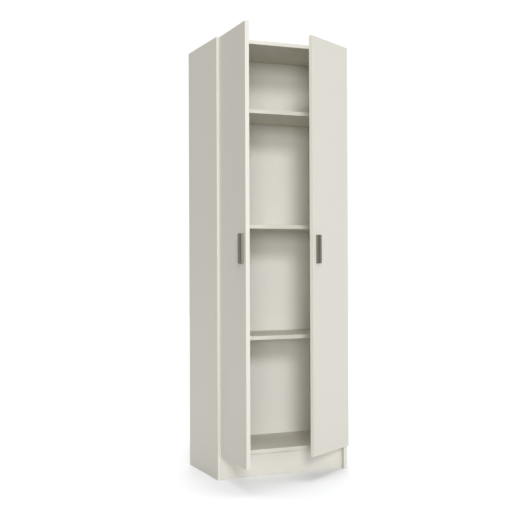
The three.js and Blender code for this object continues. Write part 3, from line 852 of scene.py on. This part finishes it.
class CUPBOARD_OT_screws(Operator):
    """Makes the screws of the hinge plates, arms, cups and handles"""

    bl_idname = "cupboard.screws"
    bl_label = "Screws"

    def execute(self, context):
        settings = context.scene.cupboard_fasteners
        finish = metal_finish(context)
        wide = cross_head(settings.plate_head_radius, SCREW_HEAD_HEIGHT, settings.head_segments)
        slim = cross_head(settings.arm_head_radius, SCREW_HEAD_HEIGHT, settings.head_segments)
        for hand, side in HANDS.items():
            opening = door_opening(hand)
            inwards = Vector((-side, 0, 0))
            backwards = opening.to_3x3() @ Vector((0, 1, 0))
            plates, arms, cups = [], [], []
            for level in LEVELS:
                low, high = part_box(f"hinge_plate_{hand}_{level}")
                panel = low.x if side < 0 else high.x
                middle = (low.z + high.z) / 2
                for rise in (-PLATE_SCREW_SPREAD, PLATE_SCREW_SPREAD):
                    place = (panel - side * PLATE_SHEET, low.y + PLATE_SCREW_BEHIND, middle + rise)
                    plates.append((place, inwards))
                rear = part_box(f"hinge_arm_{hand}_{level}")[1].y
                for forward, above in ARM_SCREWS:
                    place = (panel - side * (above - ARM_HEAD_SUNK), rear - forward, middle)
                    arms.append((place, inwards))
                cup_low, cup_high = shut_box(f"hinge_cup_{hand}_{level}", opening)
                centre = (cup_low + cup_high) / 2
                for rise in (-CUP_SCREW_SPREAD, CUP_SCREW_SPREAD):
                    place = opening @ Vector((centre[0], cup_high[1], centre[2] + rise))
                    cups.append((place, backwards))
            for name, rings, sites, body in (
                (f"plate_screws_{hand}", wide, plates, "carcass"),
                (f"arm_screws_{hand}", slim, arms, "carcass"),
                (f"cup_screws_{hand}", wide, cups, f"{hand}_door"),
            ):
                points, faces = placed(rings, sites)
                new_piece(name, points, faces, body, finish)
            for level in ("lower", "upper"):
                self.handle_screw(settings, finish, hand, level, opening)
        return {"FINISHED"}

    def handle_screw(self, settings, finish, hand, level, opening):
        """One screw through a door into the handle: the shank's rings, then the domed head's."""
        node = f"handle_screw_{hand}_{level}"
        low, high = shut_box(node, opening)
        radius, length = (high[0] - low[0]) / 2, high[1] - low[1]
        head = cross_head(radius, HANDLE_HEAD_HEIGHT, settings.head_segments)
        head[:, :, 2] += length - HANDLE_HEAD_HEIGHT
        tip_radius, taper = SHANK_TIP
        angle = np.arange(settings.head_segments) * (2 * np.pi / settings.head_segments)
        shank = [
            np.stack([r * np.cos(angle), r * np.sin(angle), np.full(len(angle), z)], 1)
            for r, z in (
                (SHANK_RADIUS, length - HANDLE_HEAD_HEIGHT), (SHANK_RADIUS, taper), (tip_radius, 0.0)
            )
        ]
        rings = np.concatenate([head[:-1], shank])
        place = opening @ Vector(((low[0] + high[0]) / 2, low[1], (low[2] + high[2]) / 2))
        points, faces = placed(rings, [(place, opening.to_3x3() @ Vector((0, 1, 0)))])
        piece = new_piece(f"{node}_cut", points, faces, f"{hand}_door", finish)
        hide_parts(node)


CAP_HEIGHT = 0.9 * MM
CAP_LIFT = 0.1 * MM  # between a cap and the board
CAP_FROM_SIDE = 34 * MM
CAP_FROM_FRONT = 50 * MM
CAP_FROM_BACK = 70 * MM


class CUPBOARD_OT_cam_caps(Operator):
    """Makes the caps over the joining cams under the top, the fixed shelf and the bottom"""

    bl_idname = "cupboard.cam_caps"
    bl_label = "Cam caps"

    def execute(self, context):
        cap = flat_cap(context.scene.cupboard_fasteners.cap_radius, CAP_HEIGHT)
        sites = []
        for node in ("top_panel", "shelf_middle", "bottom_panel"):
            low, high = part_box(node)
            for x in (low.x + CAP_FROM_SIDE, high.x - CAP_FROM_SIDE):
                for y in (low.y + CAP_FROM_FRONT, high.y - CAP_FROM_BACK):
                    sites.append(((x, y, low.z - CAP_LIFT), (0, 0, -1)))
        points, faces = placed(cap, sites)
        finish = cover_plastic(context.scene.cupboard_boards)
        new_piece("cam_caps", points, faces, "carcass", finish)
        return {"FINISHED"}


class CUPBOARD_OT_pads(Operator):
    """Makes the soft pads that the doors close on"""

    bl_idname = "cupboard.pads"
    bl_label = "Door pads"

    def execute(self, context):
        finish = soft_pad()
        for hand in HANDS:
            opening = door_opening(hand)
            for level in ("lower", "upper"):
                node = f"bumper_{hand}_{level}"
                low, high = shut_box(node, opening)
                pad = flat_cap((high[0] - low[0]) / 2, high[1] - low[1], 32)
                place = opening @ Vector(((low[0] + high[0]) / 2, low[1], (low[2] + high[2]) / 2))
                points, faces = placed(pad, [(place, opening.to_3x3() @ Vector((0, 1, 0)))])
                piece = new_piece(f"{node}_pad", points, faces, f"{hand}_door", finish)
                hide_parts(node)
        return {"FINISHED"}


# ---- Stage


BACKDROP = 1.02  # how bright the surroundings look
FLOOR_HALF = 12.0
SENSOR = 36
LAMPS = (  # name, the way its light goes, softness in degrees, strength, colour
    ("key_lamp", (0.31, 1.0, -0.38), 12, 1.2, (0.97, 0.985, 1.05)),
    ("front_lamp", (0.42, 1.0, -0.06), 16, 1.3, (0.97, 0.985, 1.03)),
    ("right_lamp", (-0.6, 0.8, -0.1), 30, 0.7, (0.97, 0.99, 1.1)),
    ("left_lamp", (1.0, 0.25, -0.2), 30, 0.1, (1.0, 0.98, 0.92)),
    ("top_lamp", (0.0, 0.05, -1.0), 40, 1.8, (0.98, 0.99, 1.0)),
    ("rear_lamp", (-0.4, -1.0, -0.4), 25, 1.0, (1.0, 0.99, 0.98)),
)


def add_sun(name, direction, softness, strength, colour):
    """A distant soft lamp whose light goes in a direction."""
    lamp = bpy.data.lights.new(name, "SUN")
    lamp.angle = math.radians(softness)
    lamp.energy = strength
    lamp.color = colour
    light = bpy.data.objects.new(name, lamp)
    light.rotation_euler = Vector(direction).to_track_quat("-Z", "Y").to_euler()
    bpy.context.scene.collection.objects.link(light)


class CUPBOARD_OT_stage(Operator):
    """Sets the floor, the surrounding light, the lamps and the camera"""

    bl_idname = "cupboard.stage"
    bl_label = "Stage"

    def execute(self, context):
        settings = context.scene.cupboard_stage
        scene = context.scene
        signs = ((-1, -1), (1, -1), (1, 1), (-1, 1))
        corners = [(x * FLOOR_HALF, y * FLOOR_HALF, 0) for x, y in signs]
        mesh = bpy.data.meshes.new("floor")
        mesh.from_pydata(corners, [], [(0, 1, 2, 3)])
        mesh.materials.append(studio_floor(settings))
        floor = bpy.data.objects.new("floor", mesh)
        scene.collection.objects.link(floor)

        world = bpy.data.worlds.new("studio")
        world.use_nodes = True
        self.light_world(world, settings)
        scene.world = world
        scene.view_settings.view_transform = "Standard"
        for name, direction, softness, strength, colour in LAMPS:
            add_sun(name, direction, softness, strength, colour)

        lens = bpy.data.cameras.new("camera")
        lens.sensor_width = SENSOR
        lens.lens = settings.camera_lens
        camera = bpy.data.objects.new("camera", lens)
        camera.matrix_world = (
            Matrix.Translation(settings.camera_place)
            @ Matrix.Rotation(-settings.camera_aim, 4, "Z")
            @ Matrix.Rotation(math.pi / 2 + settings.camera_tilt, 4, "X")
            @ Matrix.Rotation(settings.camera_roll, 4, "Z")
        )
        scene.collection.objects.link(camera)
        scene.camera = camera
        return {"FINISHED"}

    def light_world(self, world, settings):
        """Even white surroundings that look brighter to the camera than the light they give."""
        tree = world.node_tree
        background = tree.nodes["Background"]
        background.inputs["Color"].default_value = (1, 1, 1, 1)
        seen = Term(tree, tree.nodes.new("ShaderNodeLightPath").outputs["Is Camera Ray"])
        strength = seen * (BACKDROP - settings.world_strength) + settings.world_strength
        feed(tree, background.inputs["Strength"], strength)


OPERATORS = (
    CUPBOARD_OT_stage, CUPBOARD_OT_boards, CUPBOARD_OT_back, CUPBOARD_OT_doors, CUPBOARD_OT_handles,
    CUPBOARD_OT_hinges, CUPBOARD_OT_shelf_pins, CUPBOARD_OT_screws, CUPBOARD_OT_cam_caps, CUPBOARD_OT_pads,
)
SETTINGS = {
    "cupboard_boards": BoardSettings,
    "cupboard_metal": MetalSettings,
    "cupboard_fasteners": FastenerSettings,
    "cupboard_stage": StageSettings,
}


class CUPBOARD_PT_panel(Panel):
    """Lists the cupboard's pieces and their sizes"""

    bl_idname = "CUPBOARD_PT_panel"
    bl_label = "Storage cupboard"
    bl_space_type = "VIEW_3D"
    bl_region_type = "UI"
    bl_category = "Cupboard"

    def draw(self, context):
        """One button for each operator, then the settings in boxes."""
        for operator in OPERATORS:
            self.layout.operator(operator.bl_idname)
        for name in SETTINGS:
            settings = getattr(context.scene, name)
            box = self.layout.box()
            for key in settings.bl_rna.properties.keys():
                if key not in ("rna_type", "name"):
                    box.prop(settings, key)


def register():
    """Registers the settings first, because the operators read them."""
    for group in SETTINGS.values():
        bpy.utils.register_class(group)
    for name, group in SETTINGS.items():
        setattr(bpy.types.Scene, name, PointerProperty(type=group))
    for made in (*OPERATORS, CUPBOARD_PT_panel):
        bpy.utils.register_class(made)


def unregister():
    """Takes everything out again, the other way round."""
    for made in (CUPBOARD_PT_panel, *reversed(OPERATORS)):
        bpy.utils.unregister_class(made)
    for name, group in SETTINGS.items():
        delattr(bpy.types.Scene, name)
        bpy.utils.unregister_class(group)


def main():
    """Makes every piece in order."""
    register()
    for operator in OPERATORS:
        family, name = operator.bl_idname.split(".")
        getattr(getattr(bpy.ops, family), name)()


if __name__ == "__main__":
    main()
